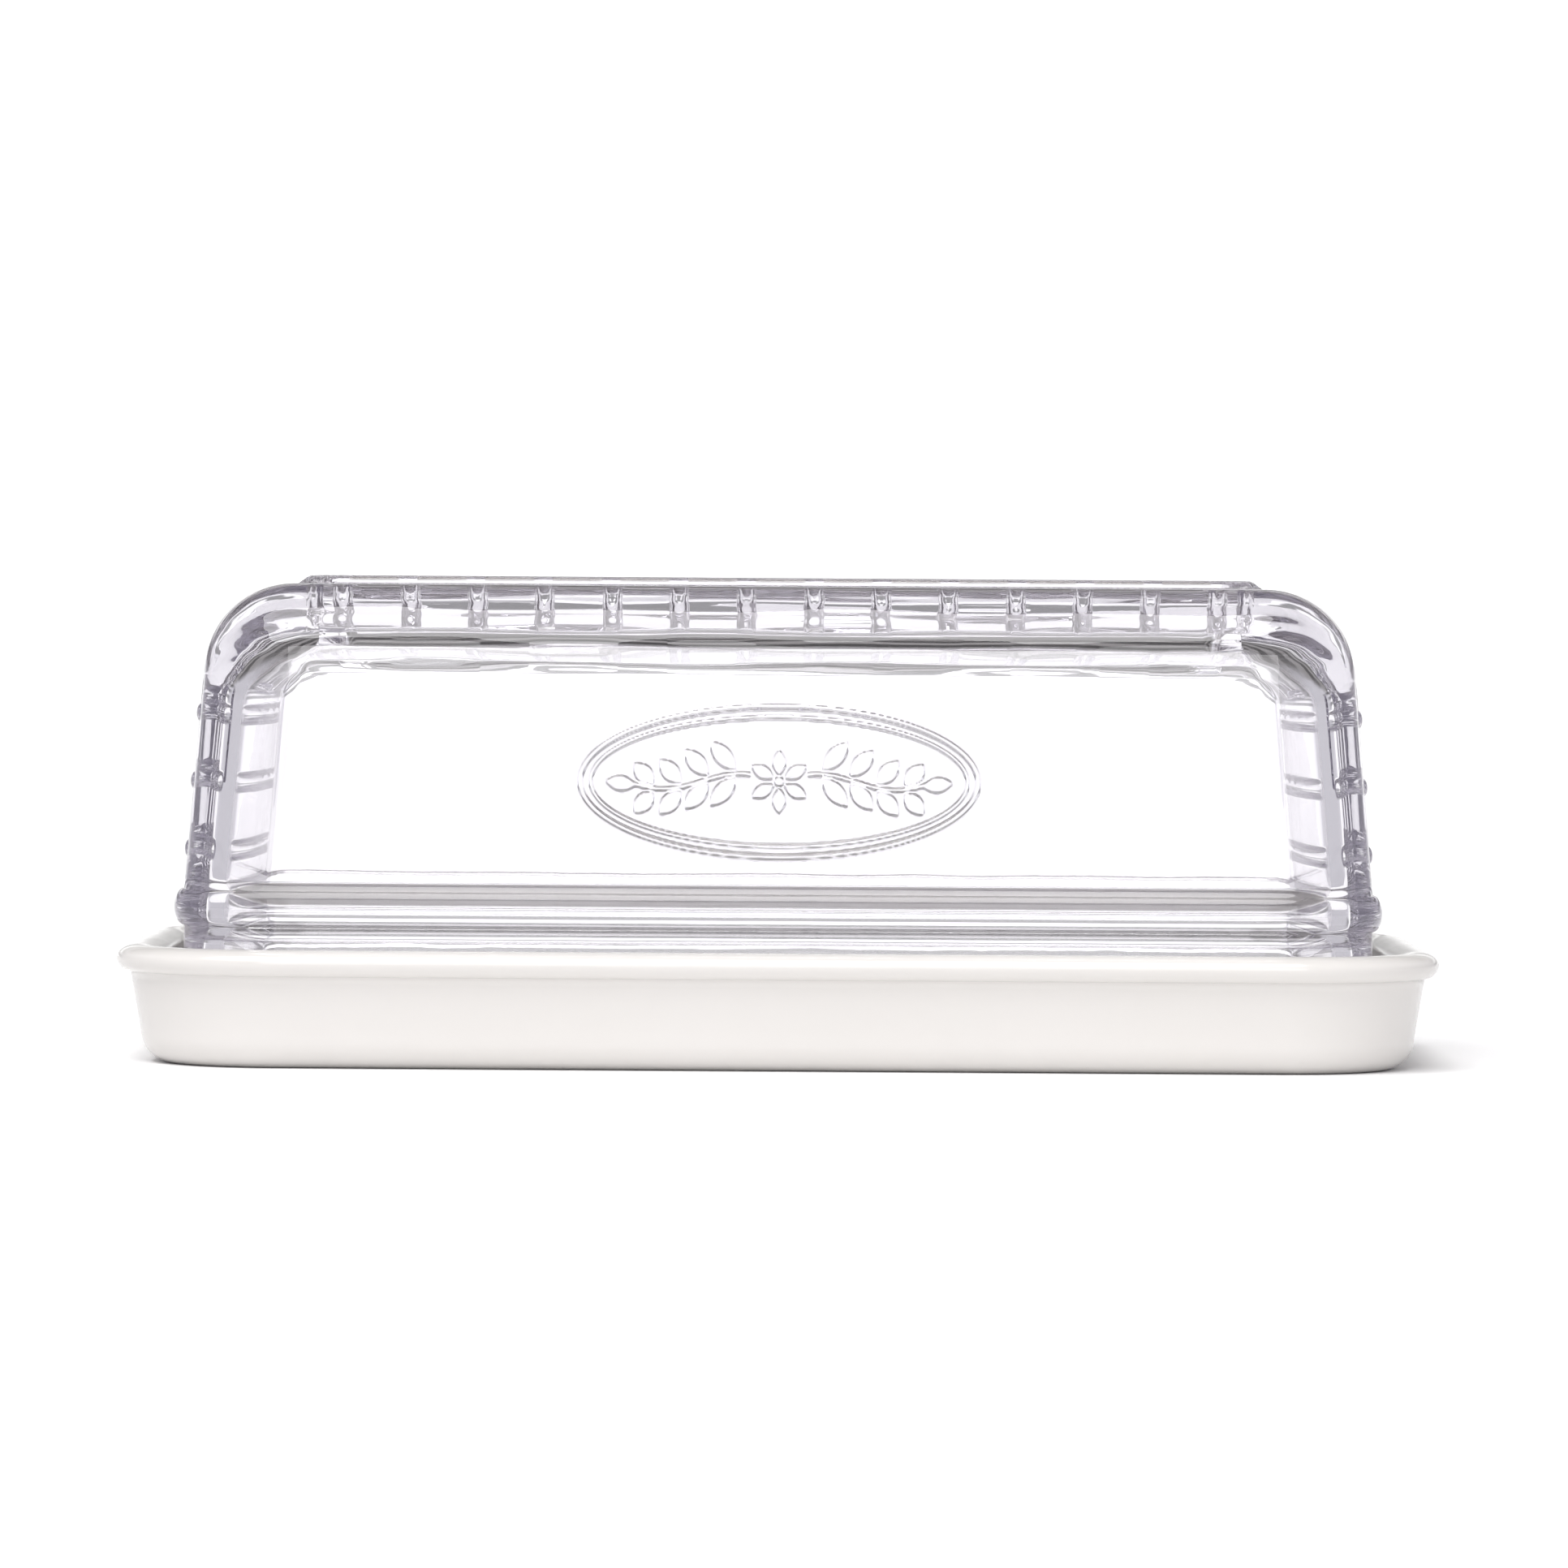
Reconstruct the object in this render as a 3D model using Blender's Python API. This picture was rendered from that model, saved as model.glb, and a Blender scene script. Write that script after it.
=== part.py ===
"""Butter dish: a glazed ceramic dish with a rolled rim, and a pressed-glass lid that stands inside it.

Metres, +Z up. The origin is the middle of the dish's footprint, on the surface it stands on.
X runs along the length, and the long front face looks towards -Y.
Both pieces are rounded-rectangle shells: a list of level rings is bridged into one closed wall.
"""
import math

import bmesh
import bpy
from mathutils import Matrix, Vector

MM = 0.001

# ---- overall sizes -----------------------------------------------------------------------------
DISH_LENGTH = 190 * MM          # over the rolled rim
DISH_WIDTH = 100 * MM
DISH_HEIGHT = 17 * MM
OVERALL_HEIGHT = 70 * MM        # table to the top of the lid's ladder rails

# ---- dish --------------------------------------------------------------------------------------
DISH_WALL = 4.4 * MM            # measured level, through the sloping side
DISH_FLOOR = 3.8 * MM           # above the recess inside the foot ring
FOOT_HEIGHT = 1.2 * MM
FOOT_WIDTH = 3.5 * MM
DISH_SIDE_SLOPE = math.radians(9.6)
DISH_BOTTOM_ROUND = 4.6 * MM    # outer bottom edge
DISH_INNER_ROUND = 2.0 * MM     # floor to inner wall
RIM_OVERHANG = 2.0 * MM         # roll beyond the body
RIM_HEIGHT = 3.8 * MM           # roll, lower edge to crest
RIM_CORNER = 23.4 * MM          # plan radius at the widest line of the roll

# ---- lid ---------------------------------------------------------------------------------------
LID_CLEARANCE = 1.8 * MM        # lid skirt to the dish's inner wall, all round
SEAT_GAP = 0.3 * MM             # lid's foot to the dish floor
GLASS_WALL = 5.8 * MM
GLASS_CROWN = 8.0 * MM          # roof, without the rails
LID_DRAFT = math.radians(4.73)
BEAD_CENTRE = 5.35 * MM         # above the dish rim
BEAD_HALF_HEIGHT = 2.65 * MM
BEAD_PROUD = 1.4 * MM
SKIRT_EDGE = 4.3 * MM           # skirt thickness at its foot
SKIRT_ROUND = 1.2 * MM
CROWN_ROUND = 13 * MM           # outer edge between walls and roof
CROWN_CORNER = 0.8 * MM         # plan radius left where that edge meets the roof
CEILING_ROUND_END = 9 * MM      # inner edge, at the two ends
CEILING_ROUND_SIDE = 5.0 * MM   # inner edge, along the two sides
INNER_CORNER = 8.3 * MM         # upright inner corners, plan radius

# ---- grip pattern ------------------------------------------------------------------------------
RAIL_PROUD = 1.2 * MM
RIB_WIDTH = 2.7 * MM
RUNG_PROUD = 1.0 * MM
RIB_PITCH = 9.8 * MM            # rungs on the crown and ribs on the end walls
LADDER_MARGIN = 0.5 * MM        # end rails to the start of the crown's rounding
LADDER_SIDE_MARGIN = 5.5 * MM   # side rails to the start of the crown's rounding
LADDER_CORNER = 5 * MM
END_RIB_PROUD = 0.6 * MM
END_RIB_MARGIN = 1.5 * MM       # rib ends to the start of the upright corners

# ---- mesh fineness -----------------------------------------------------------------------------
CORNER_STEPS = 7
ROUND_STEPS = 5
BAR_SIDES = 12

# ---- derived from the sizes above --------------------------------------------------------------
LENGTH_OVER_WIDTH = (DISH_LENGTH - DISH_WIDTH) / 2      # half-length less half-width, every ring
SIDE_LEAN = math.tan(DISH_SIDE_SLOPE)
FLOOR_TOP = FOOT_HEIGHT + DISH_FLOOR
RIM_LOW = DISH_HEIGHT - RIM_HEIGHT
RIM_REACH = DISH_LENGTH / 2
BODY_REACH = RIM_REACH - RIM_OVERHANG                   # body half-length just under the roll
CAVITY_REACH = BODY_REACH - DISH_WALL - (RIM_LOW - FLOOR_TOP) * SIDE_LEAN
CAVITY_CORNER = RIM_CORNER - (RIM_REACH - CAVITY_REACH)

SKIRT_REACH = CAVITY_REACH - LID_CLEARANCE
SKIRT_CORNER = CAVITY_CORNER - LID_CLEARANCE
SKIRT_FOOT = FLOOR_TOP + SEAT_GAP
BEAD_Z = DISH_HEIGHT + BEAD_CENTRE
BEAD_TOP = BEAD_Z + BEAD_HALF_HEIGHT
BEAD_LOW = BEAD_Z - BEAD_HALF_HEIGHT
CROWN_TOP = OVERALL_HEIGHT - RAIL_PROUD
CROWN_FILLET = min(CROWN_ROUND, SKIRT_CORNER - CROWN_CORNER)
CROWN_SPRING = CROWN_TOP - CROWN_FILLET
CEILING = CROWN_TOP - GLASS_CROWN
DRAFT_LEAN = math.tan(LID_DRAFT)


def glass_reach(height):
    """Half-length of the lid's drafted outer wall at a height above its bead."""
    return SKIRT_REACH - (height - BEAD_TOP) * DRAFT_LEAN


def ring(reach, height, corner, side_reach=None):
    """One level ring of a shell; side_reach is its half-width where that isn't the usual one."""
    half_width = reach - LENGTH_OVER_WIDTH if side_reach is None else side_reach
    return (reach, half_width, corner, height)


def arc_steps(count=ROUND_STEPS):
    """Angles from 0 to 90 degrees."""
    return [math.radians(90 * step / count) for step in range(count + 1)]


def ring_points(half_length, half_width, corner, height):
    """Rounded rectangle, counter-clockwise from above."""
    points = []
    for quadrant, (side_x, side_y) in enumerate(((1, 1), (-1, 1), (-1, -1), (1, -1))):
        centre = Vector((side_x * (half_length - corner), side_y * (half_width - corner), height))
        for step in range(CORNER_STEPS + 1):
            angle = math.radians(90 * (quadrant + step / CORNER_STEPS))
            points.append(centre + corner * Vector((math.cos(angle), math.sin(angle), 0)))
    return points


def shell_mesh(name, rings):
    """Bridge the rings in order and close the first and the last with a flat face."""
    mesh = bmesh.new()
    loops = [[mesh.verts.new(point) for point in ring_points(*level)] for level in rings]
    for upper, lower in zip(loops, loops[1:]):
        for here in range(len(upper)):
            after = (here + 1) % len(upper)
            mesh.faces.new((upper[here], lower[here], lower[after], upper[after]))
    mesh.faces.new(loops[0])
    mesh.faces.new(list(reversed(loops[-1])))
    bmesh.ops.recalc_face_normals(mesh, faces=mesh.faces)
    data = bpy.data.meshes.new(name)
    mesh.to_mesh(data)
    mesh.free()
    return data


def material(name, colour, roughness, transmission=0.0):
    finish = bpy.data.materials.new(name)
    finish.use_nodes = True
    shader = finish.node_tree.nodes["Principled BSDF"]
    shader.inputs["Base Color"].default_value = (*colour, 1)
    shader.inputs["Roughness"].default_value = roughness
    shader.inputs["Transmission Weight"].default_value = transmission
    return finish


def place(name, data, finish=None):
    """Put a mesh in the scene under its name, shaded smooth between its sharp edges."""
    item = bpy.data.objects.new(name, data)
    bpy.context.scene.collection.objects.link(item)
    if finish:
        data.materials.append(finish)
    data.shade_smooth()
    data.set_sharp_from_angle(angle=math.radians(40))
    return item


# ---- the dish ----------------------------------------------------------------------------------
def dish_rings():
    """From the middle of the floor, up the inside, over the roll, down and under to the recess."""
    rings = []

    # floor, and the small round where it meets the inner wall
    for angle in arc_steps():
        back = DISH_INNER_ROUND * (1 - math.sin(angle))
        rise = DISH_INNER_ROUND * (1 - math.cos(angle))
        rings.append(ring(CAVITY_REACH - back, FLOOR_TOP + rise, CAVITY_CORNER - back))

    # inner wall up to the roll, which turns over as a half round
    lip_in = CAVITY_REACH + (RIM_LOW - FLOOR_TOP) * SIDE_LEAN
    rings.append(ring(lip_in, RIM_LOW, CAVITY_CORNER + lip_in - CAVITY_REACH))
    roll_half = (RIM_REACH - lip_in) / 2
    roll_middle = RIM_REACH - roll_half
    shoulder = DISH_HEIGHT - RIM_HEIGHT / 2
    for angle in arc_steps()[1:]:
        reach = roll_middle - roll_half * math.cos(angle)
        height = shoulder + (DISH_HEIGHT - shoulder) * math.sin(angle)
        rings.append(ring(reach, height, RIM_CORNER + reach - RIM_REACH))
    for angle in reversed(arc_steps()[:-1]):
        reach = roll_middle + roll_half * math.cos(angle)
        height = shoulder + (DISH_HEIGHT - shoulder) * math.sin(angle)
        rings.append(ring(reach, height, RIM_CORNER + reach - RIM_REACH))
    for angle in arc_steps()[1:]:
        reach = BODY_REACH + RIM_OVERHANG * math.cos(angle)
        height = shoulder - (shoulder - RIM_LOW) * math.sin(angle)
        rings.append(ring(reach, height, RIM_CORNER + reach - RIM_REACH))

    # sloping side and rounded bottom edge
    base_reach = BODY_REACH - (RIM_LOW - DISH_BOTTOM_ROUND) * SIDE_LEAN
    for angle in arc_steps():
        back = DISH_BOTTOM_ROUND * (1 - math.cos(angle))
        height = DISH_BOTTOM_ROUND * (1 - math.sin(angle))
        rings.append(ring(base_reach - back, height, RIM_CORNER + base_reach - back - RIM_REACH))

    # foot ring and the recess inside it
    foot_in = base_reach - DISH_BOTTOM_ROUND - FOOT_WIDTH
    for reach, height in ((foot_in, 0), (foot_in - FOOT_HEIGHT, FOOT_HEIGHT)):
        rings.append(ring(reach, height, RIM_CORNER + reach - RIM_REACH))
    return rings


def make_dish():
    finish = material("glazed_ceramic", (0.86, 0.84, 0.80), 0.15)
    return place("ceramic_dish", shell_mesh("ceramic_dish", dish_rings()), finish)


# ---- the lid -----------------------------------------------------------------------------------
def lid_rings():
    """From the roof's flat, down the outside, round the skirt's foot and up inside to the ceiling."""
    rings = []

    # rounded crown
    spring = glass_reach(CROWN_SPRING)
    for angle in arc_steps(2 * ROUND_STEPS):
        back = CROWN_FILLET * (1 - math.sin(angle))
        height = CROWN_SPRING + CROWN_FILLET * math.cos(angle)
        rings.append(ring(spring - back, height, SKIRT_CORNER - back))

    # drafted wall, half-round bead and straight skirt
    for step in range(-ROUND_STEPS, ROUND_STEPS + 1):
        angle = math.radians(90 * step / ROUND_STEPS)
        proud = BEAD_PROUD * math.cos(angle)
        height = BEAD_Z - BEAD_HALF_HEIGHT * math.sin(angle)
        rings.append(ring(SKIRT_REACH + proud, height, SKIRT_CORNER + proud))
    for angle in arc_steps():
        back = SKIRT_ROUND * (1 - math.cos(angle))
        height = SKIRT_FOOT + SKIRT_ROUND * (1 - math.sin(angle))
        rings.append(ring(SKIRT_REACH - back, height, SKIRT_CORNER - back))

    # inside wall, which keeps the wall thickness above the bead
    foot_reach = SKIRT_REACH - SKIRT_EDGE
    bead_reach = SKIRT_REACH - GLASS_WALL
    rings.append(ring(foot_reach, SKIRT_FOOT, INNER_CORNER + foot_reach - bead_reach))
    rings.append(ring(bead_reach, BEAD_TOP, INNER_CORNER))

    # ceiling: a wide round at the ends, a tighter one along the sides
    end_spring = CEILING - CEILING_ROUND_END
    for angle in arc_steps(2 * ROUND_STEPS):
        height = end_spring + CEILING_ROUND_END * math.sin(angle)
        wall_reach = glass_reach(height) - GLASS_WALL
        end_back = CEILING_ROUND_END * (1 - math.cos(angle))
        climb = max(0.0, height - (CEILING - CEILING_ROUND_SIDE))
        side_back = CEILING_ROUND_SIDE - math.sqrt(max(0.0, CEILING_ROUND_SIDE ** 2 - climb ** 2))
        half_width = wall_reach - LENGTH_OVER_WIDTH - side_back
        rings.append(ring(wall_reach - end_back, height, INNER_CORNER - side_back, half_width))
    return rings


def bar_mesh(name, path, radius, closed):
    """Round bar along the points of a path; an open bar ends in half balls."""
    mesh = bmesh.new()
    count = len(path)
    sections = []
    for index, centre in enumerate(path):
        before = path[index - 1] if closed or index else path[0]
        after = path[(index + 1) % count] if closed or index < count - 1 else path[-1]
        along = (after - before).normalized()
        across = along.cross(Vector((0, 0, 1)))
        sections.append((centre, along, across, radius))
    if not closed:
        start, end = sections[0], sections[-1]
        for angle in arc_steps(3)[1:]:
            out, size = radius * math.sin(angle), max(radius * math.cos(angle), radius * 0.05)
            sections.insert(0, (start[0] - out * start[1], start[1], start[2], size))
            sections.append((end[0] + out * end[1], end[1], end[2], size))
    loops = []
    for centre, along, across, size in sections:
        upward = across.cross(along)
        turn = [math.radians(360 * side / BAR_SIDES) for side in range(BAR_SIDES)]
        loops.append([mesh.verts.new(centre + size * (math.cos(a) * upward + math.sin(a) * across))
                      for a in turn])
    pairs = list(zip(loops, loops[1:]))
    if closed:
        pairs.append((loops[-1], loops[0]))
    for first, second in pairs:
        for side in range(BAR_SIDES):
            after = (side + 1) % BAR_SIDES
            mesh.faces.new((first[side], first[after], second[after], second[side]))
    if not closed:
        mesh.faces.new(loops[0])
        mesh.faces.new(loops[-1])
    bmesh.ops.recalc_face_normals(mesh, faces=mesh.faces)
    data = bpy.data.meshes.new(name)
    mesh.to_mesh(data)
    mesh.free()
    return data


def bar_radius(proud):
    """Radius of a round bar that shows RIB_WIDTH wide where it stands this far proud of a face."""
    return (proud ** 2 + (RIB_WIDTH / 2) ** 2) / (2 * proud)


def rib_places(span):
    """Even places about the middle of a span, as many as it holds at the ribs' pitch."""
    count = round(span / RIB_PITCH)
    return [(index - (count - 1) / 2) * RIB_PITCH for index in range(count)]


def ladder_bars():
    """Two rails and two end bars in one loop on the crown, with rungs across."""
    flat_reach = glass_reach(CROWN_SPRING) - CROWN_FILLET
    rail_radius = bar_radius(RAIL_PROUD)
    rail_inset = LADDER_MARGIN + RIB_WIDTH / 2
    rail_height = CROWN_TOP + RAIL_PROUD - rail_radius
    half_length = flat_reach - rail_inset
    half_width = half_length - LENGTH_OVER_WIDTH + LADDER_MARGIN - LADDER_SIDE_MARGIN
    path = ring_points(half_length, half_width, LADDER_CORNER, rail_height)
    bars = [bar_mesh("ladder_rail", path, rail_radius, closed=True)]

    rung_radius = bar_radius(RUNG_PROUD)
    rung_height = CROWN_TOP + RUNG_PROUD - rung_radius
    for along in rib_places(2 * half_length):
        ends = [Vector((along, side * half_width, rung_height)) for side in (-1, 1)]
        bars.append(bar_mesh("ladder_rung", ends, rung_radius, closed=False))
    return bars


def end_rib_bars():
    """Level grip ribs on the outside of both end walls, at the rungs' pitch."""
    radius = bar_radius(END_RIB_PROUD)
    middle = (BEAD_TOP + CROWN_SPRING) / 2
    bars = []
    for side in (-1, 1):
        for climb in rib_places(CROWN_SPRING - BEAD_TOP):
            height = middle + climb
            inward = (radius - END_RIB_PROUD) / math.cos(LID_DRAFT)
            reach = glass_reach(height) - inward
            half = glass_reach(height) - LENGTH_OVER_WIDTH - SKIRT_CORNER - END_RIB_MARGIN
            ends = [Vector((side * reach, way * half, height)) for way in (-1, 1)]
            bars.append(bar_mesh("end_rib", ends, radius, closed=False))
    return bars


def fuse(item, bars):
    """Join each bar to the glass it stands on, so that the lid stays one solid."""
    for data in bars:
        bar = place(data.name + "_former", data)
        bar.hide_render = True
        bar.display_type = "WIRE"
        joint = item.modifiers.new("fuse_" + data.name, "BOOLEAN")
        joint.operation = "UNION"
        joint.solver = "EXACT"
        joint.object = bar


def make_lid():
    finish = material("clear_glass", (0.95, 0.95, 0.97), 0.03, transmission=1.0)
    lid = place("glass_lid", shell_mesh("glass_lid", lid_rings()), finish)
    fuse(lid, ladder_bars() + end_rib_bars())
    return lid


def main():
    for item in list(bpy.data.objects):
        bpy.data.objects.remove(item)
    dish = make_dish()
    lid = make_lid()
    lid.parent = dish
    lid.matrix_parent_inverse = Matrix.Identity(4)


main()
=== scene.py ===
import math

import bpy
import numpy as np
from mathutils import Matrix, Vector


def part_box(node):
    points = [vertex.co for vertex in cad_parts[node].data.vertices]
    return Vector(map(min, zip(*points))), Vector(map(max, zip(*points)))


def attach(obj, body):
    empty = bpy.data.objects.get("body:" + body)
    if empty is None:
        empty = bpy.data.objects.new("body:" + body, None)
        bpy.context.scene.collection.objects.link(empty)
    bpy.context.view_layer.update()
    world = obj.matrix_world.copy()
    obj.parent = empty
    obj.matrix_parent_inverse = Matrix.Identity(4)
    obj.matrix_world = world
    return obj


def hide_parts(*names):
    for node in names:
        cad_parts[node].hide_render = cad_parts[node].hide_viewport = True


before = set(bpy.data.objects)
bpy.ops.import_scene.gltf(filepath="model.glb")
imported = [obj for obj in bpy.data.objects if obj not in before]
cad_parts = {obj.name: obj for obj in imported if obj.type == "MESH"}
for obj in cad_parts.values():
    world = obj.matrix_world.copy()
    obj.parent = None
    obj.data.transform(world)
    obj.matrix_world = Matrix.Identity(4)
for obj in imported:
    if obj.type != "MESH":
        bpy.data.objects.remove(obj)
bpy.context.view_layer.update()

MM = 0.001

# ---- sizes that the loaded solids give -----------------------------------------------------------
_, DISH_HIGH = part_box("ceramic_dish")
LID_LOW, LID_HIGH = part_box("glass_lid")
RIM_REACH = DISH_HIGH[0]
DISH_HEIGHT = DISH_HIGH[2]
NARROWER = DISH_HIGH[0] - DISH_HIGH[1]      # half-length less half-width, the same at every level
BEAD_REACH = LID_HIGH[0]
LID_FOOT = LID_LOW[2]
LID_TOP = LID_HIGH[2]

# ---- the dish's own sizes ------------------------------------------------------------------------
RIM_CORNER = 23.4 * MM
RIM_OVERHANG = 2.0 * MM
RIM_ROLL = 3.8 * MM
DISH_WALL = 4.4 * MM
DISH_LEAN = math.tan(math.radians(9.6))
DISH_FLOOR = LID_FOOT - 0.3 * MM
FLOOR_ROUND = 2.0 * MM
BOTTOM_ROUND = 4.6 * MM
FOOT_WIDTH = 3.5 * MM
FOOT_HEIGHT = 1.2 * MM
FOOT_EDGE = 0.4 * MM                        # the foot ring's softened edges

# ---- the lid's own sizes -------------------------------------------------------------------------
BEAD_PROUD = 1.4 * MM
BEAD_HALF = 2.65 * MM
BEAD_Z = DISH_HEIGHT + 5.35 * MM
BEAD_TOP = BEAD_Z + BEAD_HALF
SKIRT_REACH = BEAD_REACH - BEAD_PROUD
SKIRT_EDGE = 4.3 * MM
SKIRT_ROUND = 1.2 * MM
GLASS_WALL = 5.8 * MM
GLASS_CROWN = 8.0 * MM
GLASS_LEAN = math.tan(math.radians(4.73))
RAIL_PROUD = 1.2 * MM
CROWN_TOP = LID_TOP - RAIL_PROUD
CROWN_ROUND = 13 * MM
CROWN_CORNER = 0.8 * MM
SKIRT_CORNER = CROWN_ROUND + CROWN_CORNER
CROWN_SPRING = CROWN_TOP - CROWN_ROUND
CEILING = CROWN_TOP - GLASS_CROWN
CEILING_END = 9 * MM
CEILING_SIDE = 5.0 * MM
INNER_CORNER = 8.3 * MM

# ---- grip pattern and relief ---------------------------------------------------------------------
RIB_WIDTH = 2.7 * MM
RIB_PITCH = 9.8 * MM
RIB_FULLNESS = 0.62                         # 0.5 would be a round back, 1 a parabola
RUNG_PROUD = 0.8 * MM
END_RIB_PROUD = 0.6 * MM
LADDER_MARGIN = 0.5 * MM
LADDER_SIDE_MARGIN = 5.5 * MM
LADDER_CORNER = 5 * MM
END_RIB_MARGIN = 1.5 * MM
RELIEF_MIDDLE = 41 * MM                     # height of the leaf relief's middle
RELIEF_PROUD = 0.6 * MM
RELIEF_EDGE = 0.26 * MM                     # width of the sloped edge round each raised shape
CREST_HALF = (28.3 * MM, 10.7 * MM)         # the oval frame of the leaf relief
WAVE = 0.05 * MM                            # how far the lid's inner faces wander from flat
WAVE_SIZE = 38 * MM                         # and over what distance
DRAG = 0.30 * MM                            # depth of the drag lines along the crown's edges
DRAG_SIZE = 2.6 * MM                        # and the distance from one to the next
DRAG_STRETCH = 11                           # how much longer they run along the lid than across
SETTLE = 0.18 * MM                          # how far the dish's rim sagged in the kiln
SETTLE_SIZE = 120 * MM

# ---- how finely the meshes are cut ---------------------------------------------------------------
NEAREST = 0.06 * MM                         # columns closer than this are merged
WALL_ROW = 0.25 * MM
RELIEF_COLUMN = 0.18 * MM
LID_CORNER_STEPS = 18
CROWN_STEPS = 42
CEILING_STEPS = 30
BEAD_STEPS = 14
DISH_CORNER_STEPS = 28
ROLL_STEPS = 14


def glass_reach(height):
    """Half-length of the lid's outer wall at a height above its bead."""
    return SKIRT_REACH - (height - BEAD_TOP) * GLASS_LEAN


LADDER_REACH = glass_reach(CROWN_SPRING) - CROWN_ROUND - LADDER_MARGIN - RIB_WIDTH / 2
LADDER_SIDE = LADDER_REACH - NARROWER + LADDER_MARGIN - LADDER_SIDE_MARGIN
RUNG_COUNT = round(2 * LADDER_REACH / RIB_PITCH)
END_RIB_COUNT = round((CROWN_SPRING - BEAD_TOP) / RIB_PITCH)
END_RIB_MIDDLE = (CROWN_SPRING + BEAD_TOP) / 2
END_RIB_REACH = glass_reach(END_RIB_MIDDLE) - NARROWER - SKIRT_CORNER - END_RIB_MARGIN

# ---- finishes: size and depth of their lumps -----------------------------------------------------
GLASS_SWELL = (22 * MM, 0.12 * MM)
GLASS_CHILL = (4 * MM, 0.004 * MM)
GLASS_DENSITY = 9.0
GLAZE_SWELL = (30 * MM, 0.25 * MM)
GLAZE_PEEL = (2.5 * MM, 0.012 * MM)
GLAZE_ROUGHNESS = (0.09, 0.17)
GRIT = (0.6 * MM, 0.05 * MM)

# ---- studio: cloth brightness, lamps and camera --------------------------------------------------
TENT_BACK = (1.25, 1.25, 1.25, 1)           # linear red, green, blue and a full alpha
TENT_SIDE = (0.60, 0.59, 0.63, 1)
TENT_TOP = (0.26, 0.25, 0.25, 1)
TENT_FRONT = (0.34, 0.33, 0.36, 1)
LAMP_POWER = 2.7                            # overhead: a wide soft source from the front left
LAMP_PLACE = (-0.6, -1.0, 1.6)
LAMP_TURN = (20, -12, 0)                    # degrees, as are the other turns
LAMP_SPREAD = 50
FILL_POWER = 9.0                            # front softbox, above and behind the camera
FILL_PLACE = (0.10, -1.5, 0.6)
FILL_TURN = (69, 0, 4)
FILL_SIZE = 1.0
FLAG_RISE = math.radians(52)                # a dark flag hangs over the white cloth behind
FLAG_DIRECTION = (0.0, math.cos(FLAG_RISE), math.sin(FLAG_RISE))
# each patch: its brightness, its direction, and how many degrees from it the cloth starts and is full
TENT_PATCHES = ((TENT_TOP, (0.0, 0.0, 1.0), 60, 30),
                (TENT_FRONT, (0.0, -1.0, 0.0), 60, 30),
                (TENT_BACK, (0.0, 1.0, 0.0), 30, 16),
                (TENT_TOP, FLAG_DIRECTION, 42, 31))
CLOTH_BANDS = 14                            # level bands in the cloth, which streak the round glass edges
CLOTH_BAND_START = 0.7                      # where the first band begins, in radians of its wave
CLOTH_BAND_EDGE = 0.5                       # how far up its wave a band turns bright
CLOTH_BAND_END = 0.7                        # sideways reach of the bands, and how softly they end
CLOTH_BAND_FADE = 0.3
CLOTH_DIM = 0.32                            # brightness in a dim band and in a bright one
CLOTH_BRIGHT = 1.15
FLOOR_SIZE = 40.0                           # far enough for its edge to stay out of sight
GLASS_BOUNCES = 32                          # thick glass sends light round many times inside
ALL_BOUNCES = 48
LENS = 195.5
CAMERA_PLACE = (0.0005, -1.25, 0.070)
CAMERA_TURN = (90 - 1.386, -0.38, 0)


# ==== mesh tools ==================================================================================
def smoothstep(value):
    value = np.clip(value, 0, 1)
    return value * value * (3 - 2 * value)


def spread(low, high, step):
    """Even places from low to high, about a step apart."""
    return list(np.linspace(low, high, max(2, round((high - low) / step) + 1)))


def quarter(count):
    """Angles from 0 to 90 degrees."""
    return [math.pi / 2 * step / count for step in range(count + 1)]


def merged(places, gap):
    """Sorted places, without those closer than a gap to the one before."""
    kept = []
    for place in sorted(places):
        if not kept or place - kept[-1] > gap:
            kept.append(place)
    return kept


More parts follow.
